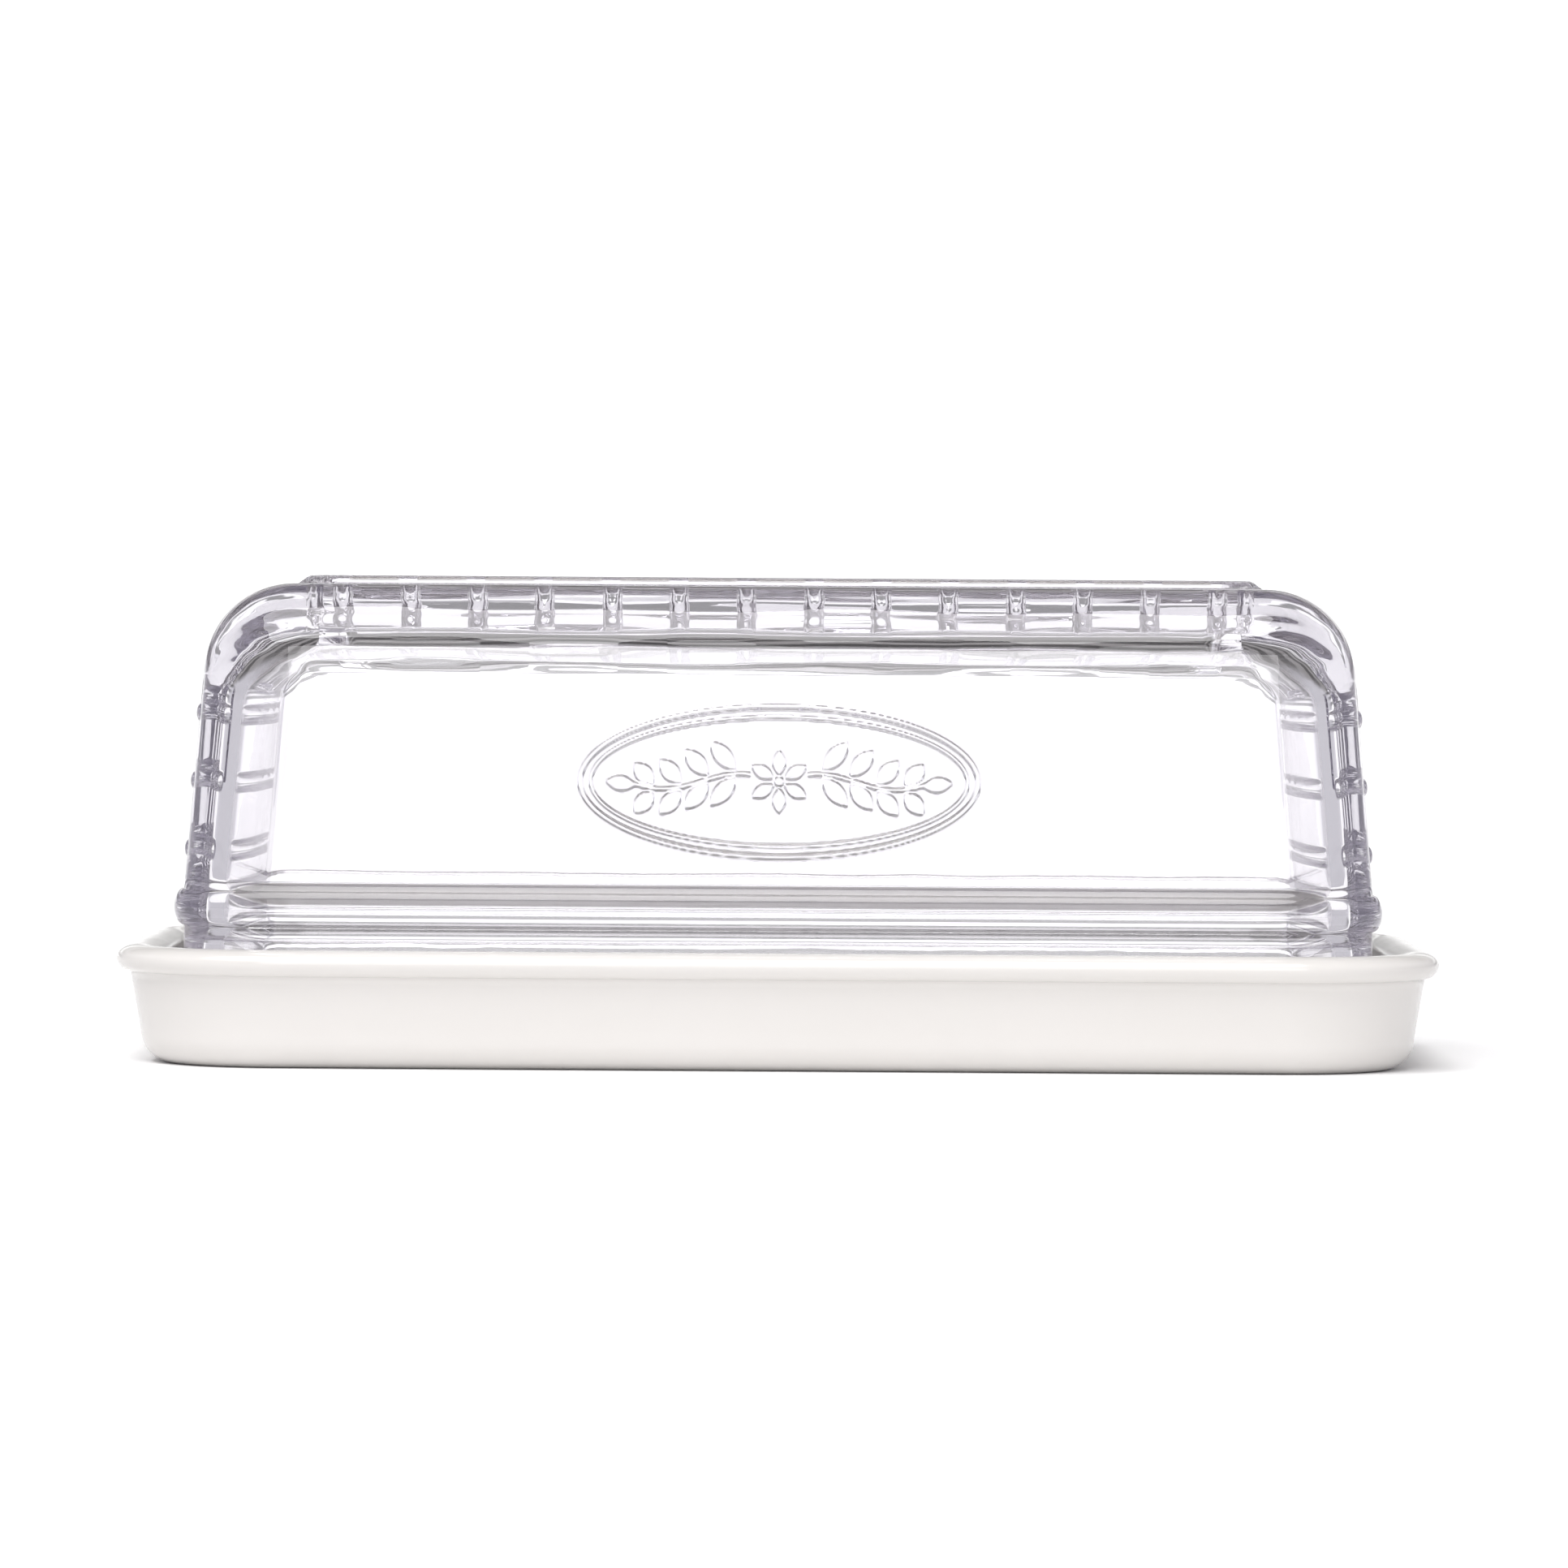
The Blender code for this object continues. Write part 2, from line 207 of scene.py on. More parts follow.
class Shell:
    """A closed wall of level rings. Each ring has four corner arcs with a straight side after each."""

    def __init__(self, corner_steps):
        self.corner_steps = corner_steps
        self.points = []
        self.faces = []

    def add(self, point):
        self.points.append(point)
        return len(self.points) - 1

    def ring(self, reach, height, corner, columns, side=None):
        """columns are the places along the back, left, front and right sides."""
        side = reach - NARROWER if side is None else side
        segments = []
        for turn, (sx, sy) in enumerate(((1, 1), (-1, 1), (-1, -1), (1, -1))):
            arc = []
            for step in range(self.corner_steps + 1):
                angle = math.pi / 2 * (turn + step / self.corner_steps)
                x = sx * (reach - corner) + corner * math.cos(angle)
                y = sy * (side - corner) + corner * math.sin(angle)
                arc.append(self.add((x, y, height)))
            segments.append(arc)
            straight = []
            for place in columns[turn]:
                spot = ((-place, side), (-reach, -place), (place, -side), (reach, place))[turn]
                straight.append(self.add((*spot, height)))
            segments.append(straight)
        return segments

    def bridge(self, upper, lower):
        """Join two rings; sides with unlike columns are stitched with triangles."""
        for index in range(8):
            after = (index + 1) % 8
            if index % 2 == 0:
                above, below = upper[index], lower[index]
            else:
                above = [upper[index - 1][-1]] + upper[index] + [upper[after][0]]
                below = [lower[index - 1][-1]] + lower[index] + [lower[after][0]]
            if len(above) == len(below):
                for a, b, c, d in zip(above, below, below[1:], above[1:]):
                    self.faces.append((a, b, c, d))
            else:
                self.stitch(above, below)

    def stitch(self, above, below):
        def share(line, index):
            start, end = np.array(self.points[line[0]]), np.array(self.points[line[-1]])
            run = end - start
            return float(np.dot(np.array(self.points[line[index]]) - start, run) / np.dot(run, run))
        i = j = 0
        while i < len(above) - 1 or j < len(below) - 1:
            step_above = j == len(below) - 1
            if i < len(above) - 1 and j < len(below) - 1:
                step_above = share(above, i + 1) < share(below, j + 1)
            if step_above:
                self.faces.append((above[i], below[j], above[i + 1]))
                i += 1
            else:
                self.faces.append((above[i], below[j], below[j + 1]))
                j += 1

    def cap(self, ring, facing_up):
        """Fill a ring with a level grid on its own columns; returns the grid's inner points."""
        back, left, front, right = ring[1], ring[3], ring[5], ring[7]
        height = self.points[front[0]][2]
        xs = [self.points[i][0] for i in front]
        ys = [self.points[i][1] for i in right]
        inner = [[self.add((x, y, height)) for x in xs] for y in ys]
        rows = [front] + inner + [list(reversed(back))]
        left_up = list(reversed(left))
        quads = []
        for low, high in zip(rows, rows[1:]):
            quads += [(a, b, c, d) for a, b, c, d in zip(low, low[1:], high[1:], high)]
        for j in range(len(ys) - 1):
            quads.append((left_up[j], inner[j][0], inner[j + 1][0], left_up[j + 1]))
            quads.append((inner[j][-1], right[j], right[j + 1], inner[j + 1][-1]))
        quads.append(tuple(ring[0]) + (back[0], inner[-1][-1], right[-1]))
        quads.append(tuple(ring[2]) + (left[0], inner[-1][0], back[-1]))
        quads.append(tuple(ring[4]) + (front[0], inner[0][0], left[-1]))
        quads.append(tuple(ring[6]) + (right[0], inner[0][-1], front[-1]))
        self.faces += quads if facing_up else [tuple(reversed(q)) for q in quads]
        return [index for row in inner for index in row]

    def mesh(self, name, points):
        data = bpy.data.meshes.new(name)
        data.from_pydata([tuple(p) for p in points], [], self.faces)
        data.validate()
        data.shade_smooth()
        return data


WANDER_WAVES = 7


def wander(points, size, seed):
    """A smooth, slow unevenness from -1 to 1, as a hot pressed or fired face has."""
    generator = np.random.default_rng(seed)
    total = np.zeros(len(points))
    for _ in range(WANDER_WAVES):
        direction = generator.normal(size=3)
        direction /= np.linalg.norm(direction)
        waves = 2 * math.pi / (size * generator.uniform(0.7, 1.6))
        total += np.sin(points @ direction * waves + generator.uniform(0, 2 * math.pi))
    return total / WANDER_WAVES


def inward(points, size, seed):
    """The same unevenness from 0 to 1, so that a face only ever moves one way."""
    return wander(points, size, seed) * 0.5 + 0.5


# ==== the leaf relief on the lid's front ==========================================================
def oval_distance(x, z, half_x, half_z):
    """Distance from an oval line, near enough close to the line itself."""
    level = np.hypot(x / half_x, z / half_z)
    slope = np.hypot(x / half_x ** 2, z / half_z ** 2)
    return np.abs(level * (level - 1)) / np.maximum(slope, 1e-9)


def leaf_depth(x, z, root, angle, length, width):
    """How far a point lies inside a pointed leaf; negative outside."""
    dx, dz = x - root[0], z - root[1]
    along = (dx * math.cos(angle) + dz * math.sin(angle)) / length
    across = np.abs(-dx * math.sin(angle) + dz * math.cos(angle))
    edge = width * np.sin(math.pi * np.clip(along, 0, 1)) ** 0.8
    return np.where((along > 0) & (along < 1), edge - across, -1.0)


def relief_height(x, z):
    """Raised height of the relief at a point of the front wall, about the relief's middle."""
    depth = [0.34 * MM - oval_distance(x, z, *CREST_HALF),
             0.22 * MM - oval_distance(x, z, CREST_HALF[0] - 1.5 * MM, CREST_HALF[1] - 1.5 * MM)]
    for side in (-1, 1):
        u = side * x
        stem = 1.1 * MM * np.sin(u / (22 * MM) * 2 * math.pi)
        on_stem = (u > 4 * MM) & (u < 21 * MM)
        depth.append(np.where(on_stem, 0.28 * MM - np.abs(z - stem), -1.0))
        for index in range(4):
            start = (6.2 + 3.9 * index) * MM
            rise = 1.1 * MM * math.sin(start / (22 * MM) * 2 * math.pi)
            length = (5.4 - 0.45 * index) * MM
            for way in (-1, 1):
                depth.append(leaf_depth(u, z, (start, rise + way * 0.5 * MM), way * 0.85, length, 1.25 * MM))
        depth.append(leaf_depth(u, z, (20.4 * MM, -0.6 * MM), 0.12, 4.3 * MM, 1.1 * MM))
    for petal in range(6):
        turn = math.pi / 3 * petal + math.pi / 6
        depth.append(leaf_depth(x, z, (0.9 * MM * math.cos(turn), 0.9 * MM * math.sin(turn)), turn,
                                3.6 * MM, 0.95 * MM))
    depth.append(0.7 * MM - np.hypot(x, z))
    return RELIEF_PROUD * smoothstep(np.max(depth, axis=0) / RELIEF_EDGE + 0.5)


# ==== the lid =====================================================================================
def rib_places(count):
    return [(index - (count - 1) / 2) * RIB_PITCH for index in range(count)]


# columns across half a rib, closest where its back turns steep
HALF_RIB = (0.5, 0.78, 0.93, 1.0, 1.12)
RIB_STEPS = [share * RIB_WIDTH / 2 for share in [-part for part in reversed(HALF_RIB)] + [0, *HALF_RIB]]


def lid_columns():
    """Columns of the crown, of the decorated wall and of everything else, close where shapes need it."""
    straight_x = glass_reach(CROWN_SPRING) - SKIRT_CORNER
    straight_y = straight_x - NARROWER
    rungs = [place + step for place in rib_places(RUNG_COUNT) for step in RIB_STEPS]
    rails = [side * (LADDER_REACH + step) for side in (-1, 1) for step in RIB_STEPS]
    bends = [side * (LADDER_REACH - back * MM) for side in (-1, 1) for back in (2.2, 3.2, 4.2)]
    crown_x = merged([p for p in rungs + rails + bends if abs(p) < straight_x - 0.05 * MM], NEAREST)
    side_rails = [side * (LADDER_SIDE + step) for side in (-1, 1) for step in RIB_STEPS]
    side_bends = [side * (LADDER_SIDE - back * MM) for side in (-1, 1) for back in (2.2, 3.2, 4.2)]
    crown_y = merged([p for p in side_rails + side_bends + spread(-14 * MM, 14 * MM, 4 * MM)
                      if abs(p) < straight_y - 0.05 * MM], NEAREST)

    relief = spread(-CREST_HALF[0] - MM, CREST_HALF[0] + MM, RELIEF_COLUMN)
    outside = spread(CREST_HALF[0] + 5 * MM, straight_x - 4 * MM, 5 * MM)
    wall_front = sorted([-p for p in outside] + relief + outside)
    wall_end = merged(spread(-18 * MM, 18 * MM, 4 * MM)
                      + [side * (END_RIB_REACH + step * MM) for side in (-1, 1)
                         for step in (-1.2, -0.6, 0, 0.35, 0.7, 1.0, 1.2, 1.35, 1.5)], 0.05 * MM)
    plain_x = spread(-66 * MM, 66 * MM, 5.5 * MM)
    plain_y = spread(-20 * MM, 20 * MM, 5 * MM)
    mirrored = [-p for p in reversed(crown_x)]
    return {"crown": (mirrored, [-p for p in reversed(crown_y)], crown_x, crown_y),
            "wall": (plain_x, wall_end, wall_front, wall_end),
            "plain": (plain_x, plain_y, plain_x, plain_y)}


def build_lid():
    shell = Shell(LID_CORNER_STEPS)
    columns = lid_columns()
    rings = []
    groups = {}

    def level(reach, height, corner, kind, side=None):
        rings.append(shell.ring(reach, height, corner, columns[kind], side))
        return rings[-1]

    # crown, from the flat roof outwards and down
    spring = glass_reach(CROWN_SPRING)
    for angle in quarter(CROWN_STEPS):
        back = CROWN_ROUND * (1 - math.sin(angle))
        height = CROWN_SPRING + CROWN_ROUND * math.cos(angle)
        level(spring - back, height, SKIRT_CORNER - back, "crown")
    groups["roof"] = shell.cap(rings[0], facing_up=True)

    # drafted wall, fine where ribs and relief stand
    wall_start = len(shell.points)
    for height in reversed(spread(BEAD_TOP + 1.5 * MM, CROWN_SPRING - 1.5 * MM, WALL_ROW)):
        level(glass_reach(height), height, SKIRT_CORNER, "wall")
    wall_end = len(shell.points)
    groups["wall"] = range(wall_start, wall_end)

    # bead: a half round with a soft hollow where it meets the wall
    for step in range(-BEAD_STEPS, BEAD_STEPS + 1):
        angle = math.pi / 2 * step / BEAD_STEPS
        proud = BEAD_PROUD * math.cos(angle)
        level(SKIRT_REACH + proud, BEAD_Z - BEAD_HALF * math.sin(angle), SKIRT_CORNER + proud, "plain")
    for height in reversed(spread(LID_FOOT + SKIRT_ROUND + 2 * MM, BEAD_Z - BEAD_HALF - 2 * MM, 3 * MM)):
        level(SKIRT_REACH, height, SKIRT_CORNER, "plain")
    for angle in quarter(6):
        back = SKIRT_ROUND * (1 - math.cos(angle))
        height = LID_FOOT + SKIRT_ROUND * (1 - math.sin(angle))
        level(SKIRT_REACH - back, height, SKIRT_CORNER - back, "plain")

    # inside of the skirt and wall; the skirt is thinner than the wall above it
    bead_reach = SKIRT_REACH - GLASS_WALL
    foot_reach = SKIRT_REACH - SKIRT_EDGE
    inner_start = len(shell.points)
    for angle in quarter(5):
        out = SKIRT_ROUND * (1 - math.sin(angle))
        level(foot_reach + out, LID_FOOT + SKIRT_ROUND * (1 - math.cos(angle)),
              INNER_CORNER + foot_reach - bead_reach + out, "plain")
    for share in (0.25, 0.5, 0.75, 1.0):
        height = LID_FOOT + SKIRT_ROUND + (BEAD_TOP - LID_FOOT - SKIRT_ROUND) * share
        reach = foot_reach + (bead_reach - foot_reach) * smoothstep(share)
        level(float(reach), height, INNER_CORNER + float(reach) - bead_reach, "plain")
    end_spring = CEILING - CEILING_END
    for height in spread(BEAD_TOP + 3 * MM, end_spring - 2 * MM, 3.5 * MM):
        level(glass_reach(height) - GLASS_WALL, height, INNER_CORNER, "plain")

    # ceiling: a wide round at the ends, a tighter one along the sides
    for angle in quarter(CEILING_STEPS):
        height = end_spring + CEILING_END * math.sin(angle)
        wall = glass_reach(height) - GLASS_WALL
        climb = max(0.0, height - (CEILING - CEILING_SIDE))
        side_back = CEILING_SIDE - math.sqrt(max(0.0, CEILING_SIDE ** 2 - climb ** 2))
        level(wall - CEILING_END * (1 - math.cos(angle)), height, INNER_CORNER - side_back, "plain",
              wall - NARROWER - side_back)
    shell.cap(rings[-1], facing_up=False)
    groups["inside"] = range(inner_start, len(shell.points))
    for upper, lower in zip(rings, rings[1:]):
        shell.bridge(upper, lower)

    points = np.array(shell.points)
    mark_wall = np.zeros(len(points))
    mark_roof = np.zeros(len(points))
    mark_roof[groups["roof"]] = 1
    wall = np.array(groups["wall"])
    on_end = np.abs(points[wall, 0]) > glass_reach(points[wall, 2]) - 0.01 * MM
    mark_wall[wall[on_end]] = 1

    # relief on the front wall, along the wall's outward direction
    on_front = points[wall, 1] < -(glass_reach(points[wall, 2]) - NARROWER) + 0.01 * MM
    front = wall[on_front]
    raised = relief_height(points[front, 0], points[front, 2] - RELIEF_MIDDLE)
    lean = math.atan(GLASS_LEAN)
    points[front, 1] -= raised * math.cos(lean)
    points[front, 2] += raised * math.sin(lean)

    # drag lines left by the plunger: long low ripples along the crown's edges, only ever inwards
    crown = np.array([i for i in range(wall_start) if points[i, 2] > CROWN_SPRING])
    height = points[crown, 2]
    edge = smoothstep((height - CROWN_SPRING) / (3 * MM)) * smoothstep((CROWN_TOP - height) / (0.4 * MM))
    along = points[crown] * np.array([1 / DRAG_STRETCH, 1, 1])
    ripple = DRAG * inward(along, DRAG_SIZE, seed=12)
    points[crown, 1] -= np.sign(points[crown, 1]) * ripple * edge

    # slow unevenness of the pressed inner face, only ever into the hollow
    inside = np.array(groups["inside"])
    inner = points[inside]
    fade = smoothstep((inner[:, 2] - LID_FOOT - 3 * MM) / (10 * MM))
    shift = WAVE * inward(inner, WAVE_SIZE, seed=4) * fade
    outward = np.sign(inner[:, :2]) * (np.abs(inner[:, :2]) > np.array([60, 20]) * MM)
    points[inside, :2] -= outward * shift[:, None]
    points[inside, 2] -= shift * (inner[:, 2] > CEILING - 0.5 * MM)

    data = shell.mesh("pressed_lid", points)
    for name, values in (("roof", mark_roof), ("end_wall", mark_wall)):
        data.attributes.new(name, "FLOAT", "POINT").data.foreach_set("value", values.astype(np.float32))
    lid = bpy.data.objects.new("pressed_lid", data)
    bpy.context.scene.collection.objects.link(lid)
    return lid


# ==== nodes: one function adds a node, its settings and its links =================================
def add(tree, kind, settings=None, inputs=None):
    """inputs maps a socket's name or number to a value, a node's first output or an output socket."""
    node = tree.nodes.new(kind)
    for name, value in (settings or {}).items():
        setattr(node, name, value)
    for key, value in (inputs or {}).items():
        if isinstance(value, bpy.types.Node):
            value = value.outputs[0]
        if isinstance(value, bpy.types.NodeSocket):
            tree.links.new(value, node.inputs[key])
        else:
            node.inputs[key].default_value = value
    return node


def grip_tree():
    """Geometry nodes that raise round-backed ribs out of the glass: rungs in a rail, and end ribs."""
    tree = bpy.data.node_groups.new("grip_ribs", "GeometryNodeTree")
    tree.interface.new_socket("Geometry", in_out="INPUT", socket_type="NodeSocketGeometry")
    sizes = {"Pitch": RIB_PITCH, "Width": RIB_WIDTH, "Rung Count": RUNG_COUNT, "Rung Proud": RUNG_PROUD,
             "Rail Reach": LADDER_REACH, "Rail Side": LADDER_SIDE, "Rail Corner": LADDER_CORNER,
             "Rail Proud": RAIL_PROUD, "End Rib Count": END_RIB_COUNT, "End Rib Proud": END_RIB_PROUD,
             "End Rib Reach": END_RIB_REACH, "End Rib Middle": END_RIB_MIDDLE}
    for name in sizes:
        tree.interface.new_socket(name, in_out="INPUT", socket_type="NodeSocketFloat")
    tree.interface.new_socket("Glass", in_out="INPUT", socket_type="NodeSocketMaterial")
    tree.interface.new_socket("Geometry", in_out="OUTPUT", socket_type="NodeSocketGeometry")
    given = add(tree, "NodeGroupInput").outputs

    def math_node(operation, *values):
        return add(tree, "ShaderNodeMath", {"operation": operation}, dict(enumerate(values)))

    spot = add(tree, "ShaderNodeSeparateXYZ", inputs={0: add(tree, "GeometryNodeInputPosition")}).outputs

    def round_back(distance, proud):
        """Height of a round-backed bar at a distance from its middle line."""
        share = math_node("DIVIDE", distance, math_node("MULTIPLY", given["Width"], 0.5))
        rest = math_node("MAXIMUM", math_node("SUBTRACT", 1.0, math_node("POWER", share, 2.0)), 0.0)
        return math_node("MULTIPLY", math_node("POWER", rest, RIB_FULLNESS), proud)

    def bar_distance(across, count, reach):
        """Distance from the nearest of a row of bars that lie along Y and have round ends."""
        half = math_node("MULTIPLY", math_node("SUBTRACT", count, 1.0), 0.5)
        index = math_node("ROUND", math_node("ADD", math_node("DIVIDE", across, given["Pitch"]), half))
        index = math_node("MINIMUM", math_node("MAXIMUM", index, 0.0), math_node("SUBTRACT", count, 1.0))
        centre = math_node("MULTIPLY", math_node("SUBTRACT", index, half), given["Pitch"])
        beyond = math_node("MAXIMUM", math_node("SUBTRACT", math_node("ABSOLUTE", spot[1]), reach), 0.0)
        beside = math_node("SUBTRACT", across, centre)
        flat = add(tree, "ShaderNodeCombineXYZ", inputs={0: beside, 1: beyond})
        return add(tree, "ShaderNodeVectorMath", {"operation": "LENGTH"}, {0: flat}).outputs["Value"]

    rung = round_back(bar_distance(spot[0], given["Rung Count"], given["Rail Side"]), given["Rung Proud"])
    climb = math_node("SUBTRACT", spot[2], given["End Rib Middle"])
    end_rib = round_back(bar_distance(climb, given["End Rib Count"], given["End Rib Reach"]),
                         given["End Rib Proud"])

    # the rail follows a rectangle with rounded corners
    over = [math_node("ADD", math_node("SUBTRACT", math_node("ABSOLUTE", spot[axis]), given[name]),
                      given["Rail Corner"]) for axis, name in enumerate(("Rail Reach", "Rail Side"))]
    outer = add(tree, "ShaderNodeCombineXYZ", inputs={0: math_node("MAXIMUM", over[0], 0.0),
                                                      1: math_node("MAXIMUM", over[1], 0.0)})
    outer = add(tree, "ShaderNodeVectorMath", {"operation": "LENGTH"}, {0: outer}).outputs["Value"]
    inner = math_node("MINIMUM", math_node("MAXIMUM", over[0], over[1]), 0.0)
    rail_distance = math_node("ABSOLUTE", math_node("SUBTRACT", math_node("ADD", outer, inner),
                                                    given["Rail Corner"]))
    rail = round_back(rail_distance, given["Rail Proud"])

    marks = [add(tree, "GeometryNodeInputNamedAttribute", {"data_type": "FLOAT"}, {"Name": name})
             for name in ("roof", "end_wall")]
    on_roof = math_node("MULTIPLY", math_node("MAXIMUM", rung, rail), marks[0])
    raised = math_node("ADD", on_roof, math_node("MULTIPLY", end_rib, marks[1]))
    outward = add(tree, "ShaderNodeVectorMath", {"operation": "SCALE"},
                  {0: add(tree, "GeometryNodeInputNormal"), "Scale": raised})
    moved = add(tree, "GeometryNodeSetPosition", inputs={"Geometry": given["Geometry"], "Offset": outward})
    real = add(tree, "GeometryNodeRealizeInstances", inputs={"Geometry": moved})
    glazed = add(tree, "GeometryNodeSetMaterial", inputs={"Geometry": real, "Material": given["Glass"]})
    add(tree, "NodeGroupOutput", inputs={0: glazed})
    return tree, sizes


def press_ribs(lid, glass):
    """Run the rib nodes on the lid and keep the result as its plain mesh."""
    tree, sizes = grip_tree()
    modifier = lid.modifiers.new("grip_ribs", "NODES")
    modifier.node_group = tree
    sockets = {item.name: item.identifier for item in tree.interface.items_tree if item.in_out == "INPUT"}
    for name, value in sizes.items():
        modifier[sockets[name]] = float(value)
    modifier[sockets["Glass"]] = glass
    bpy.context.view_layer.update()
    evaluated = lid.evaluated_get(bpy.context.evaluated_depsgraph_get())
    data = bpy.data.meshes.new_from_object(evaluated)
    lid.modifiers.clear()
    lid.data = data
    data.name = "pressed_lid"


# ==== the dish ====================================================================================
def build_dish():
    shell = Shell(DISH_CORNER_STEPS)
    plain = (spread(-68 * MM, 68 * MM, 4 * MM), spread(-24 * MM, 24 * MM, 4 * MM)) * 2
    rings = []

    def level(reach, height, corner=None):
        corner = RIM_CORNER + reach - RIM_REACH if corner is None else corner
        rings.append(shell.ring(reach, height, corner, plain))

    rim_low = DISH_HEIGHT - RIM_ROLL
    body = RIM_REACH - RIM_OVERHANG
    cavity = body - DISH_WALL - (rim_low - DISH_FLOOR) * DISH_LEAN
    for angle in quarter(10):
        level(cavity - FLOOR_ROUND * (1 - math.sin(angle)), DISH_FLOOR + FLOOR_ROUND * (1 - math.cos(angle)))
    lip = cavity + (rim_low - DISH_FLOOR) * DISH_LEAN
    for share in (0.3, 0.6, 0.85, 1.0):
        height = DISH_FLOOR + FLOOR_ROUND + (rim_low - DISH_FLOOR - FLOOR_ROUND) * share
        level(cavity + (height - DISH_FLOOR) * DISH_LEAN, height)
    half = (RIM_REACH - lip) / 2
    shoulder = DISH_HEIGHT - RIM_ROLL / 2
    for angle in quarter(ROLL_STEPS)[1:]:
        level(RIM_REACH - half - half * math.cos(angle), shoulder + RIM_ROLL / 2 * math.sin(angle))
    for angle in reversed(quarter(ROLL_STEPS)[:-1]):
        level(RIM_REACH - half + half * math.cos(angle), shoulder + RIM_ROLL / 2 * math.sin(angle))
    for angle in quarter(10)[1:]:
        level(body + RIM_OVERHANG * math.cos(angle), shoulder - RIM_ROLL / 2 * math.sin(angle))
    base = body - (rim_low - BOTTOM_ROUND) * DISH_LEAN
    for share in (0.15, 0.4, 0.65, 0.85):
        height = rim_low + (BOTTOM_ROUND - rim_low) * share
        level(body - (rim_low - height) * DISH_LEAN, height)
    for angle in quarter(ROLL_STEPS):
        level(base - BOTTOM_ROUND * (1 - math.cos(angle)), BOTTOM_ROUND * (1 - math.sin(angle)))
    foot = base - BOTTOM_ROUND
    foot_first = len(rings)
    level(foot - FOOT_WIDTH + FOOT_EDGE, 0)
    for angle in quarter(4)[1:]:
        level(foot - FOOT_WIDTH + FOOT_EDGE * (1 - math.sin(angle)), FOOT_EDGE * (1 - math.cos(angle)))
    level(foot - FOOT_WIDTH - FOOT_EDGE, FOOT_HEIGHT)
    shell.cap(rings[0], facing_up=True)
    shell.cap(rings[-1], facing_up=False)
    bare_from = len(shell.faces)
    shell.bridge(rings[foot_first - 1], rings[foot_first])
    bare_to = len(shell.faces)
    for index, (upper, lower) in enumerate(zip(rings, rings[1:])):
        if index != foot_first - 1:
            shell.bridge(upper, lower)

    points = np.array(shell.points)
    settle = smoothstep(points[:, 2] / DISH_HEIGHT)
    points[:, 2] -= settle * SETTLE * inward(points, SETTLE_SIZE, seed=9)
    data = shell.mesh("fired_dish", points)
    data.polygons.foreach_set("material_index", [int(bare_from <= index < bare_to)
                                                  for index in range(len(shell.faces))])
    dish = bpy.data.objects.new("fired_dish", data)
    bpy.context.scene.collection.objects.link(dish)
    return dish


# ==== finishes ====================================================================================
def linear(hex_colour):
    """An sRGB hex value as linear red, green, blue and a full alpha."""
    channels = [int(hex_colour[i:i + 2], 16) / 255 for i in (1, 3, 5)]
    return (*[c / 12.92 if c <= 0.04045 else ((c + 0.055) / 1.055) ** 2.4 for c in channels], 1.0)


def finish(name):
    material = bpy.data.materials.new(name)
    material.use_nodes = True
    return material, material.node_tree, material.node_tree.nodes["Principled BSDF"]


def unevenness(tree, size, detail):
    """Smooth noise in the object's own space, its lumps about one size across."""
    where = add(tree, "ShaderNodeTexCoord").outputs["Object"]
    return add(tree, "ShaderNodeTexNoise", inputs={"Vector": where, "Scale": 1 / size, "Detail": detail})


def skin(tree, shader, coarse, fine):
    """Two layers of bump on the surface, each given as its noise and its depth."""
    low = add(tree, "ShaderNodeBump", inputs={"Height": coarse[0], "Distance": coarse[1], "Strength": 1.0})
    high = add(tree, "ShaderNodeBump", inputs={"Height": fine[0], "Distance": fine[1], "Strength": 1.0,
                                              "Normal": low})
    tree.links.new(high.outputs[0], shader.inputs["Normal"])


def pressed_glass():
    """Soda-lime glass, pressed and fire-polished.

    Gives the eye a clear, thick, very slightly lavender body with gently wavy faces.
    """
    material, tree, shader = finish("pressed_soda_lime_glass")
    shader.inputs["Base Color"].default_value = linear("#FEFDFF")
    shader.inputs["Roughness"].default_value = 0.0
    shader.inputs["IOR"].default_value = 1.52
    shader.inputs["Transmission Weight"].default_value = 1.0
    swell = unevenness(tree, GLASS_SWELL[0], 1.0)
    chill = unevenness(tree, GLASS_CHILL[0], 2.0)
    skin(tree, shader, (swell, GLASS_SWELL[1]), (chill, GLASS_CHILL[1]))
    body = add(tree, "ShaderNodeVolumeAbsorption",
               inputs={"Color": linear("#DBD8E1"), "Density": GLASS_DENSITY})
    tree.links.new(body.outputs[0], tree.nodes["Material Output"].inputs["Volume"])
    return material


def glazed_stoneware():
    """Ivory stoneware under a clear gloss glaze.

    Gives the eye a soft orange peel, a broken sheen and a little more depth where the glaze pooled.
    """
    material, tree, shader = finish("ivory_glazed_stoneware")
    pool = unevenness(tree, 45 * MM, 3.0)
    tone = add(tree, "ShaderNodeMix", {"data_type": "RGBA"},
               {"Factor": pool, 6: linear("#D8D5D2"), 7: linear("#D4D1CD")})
    tree.links.new(tone.outputs[2], shader.inputs["Base Color"])
    wear = unevenness(tree, 9 * MM, 4.0)
    gloss = add(tree, "ShaderNodeMapRange",
                inputs={"Value": wear, "To Min": GLAZE_ROUGHNESS[0], "To Max": GLAZE_ROUGHNESS[1]})
    tree.links.new(gloss.outputs[0], shader.inputs["Roughness"])
    peel = unevenness(tree, GLAZE_PEEL[0], 2.0)
    swell = unevenness(tree, GLAZE_SWELL[0], 1.0)
    skin(tree, shader, (swell, GLAZE_SWELL[1]), (peel, GLAZE_PEEL[1]))
    return material


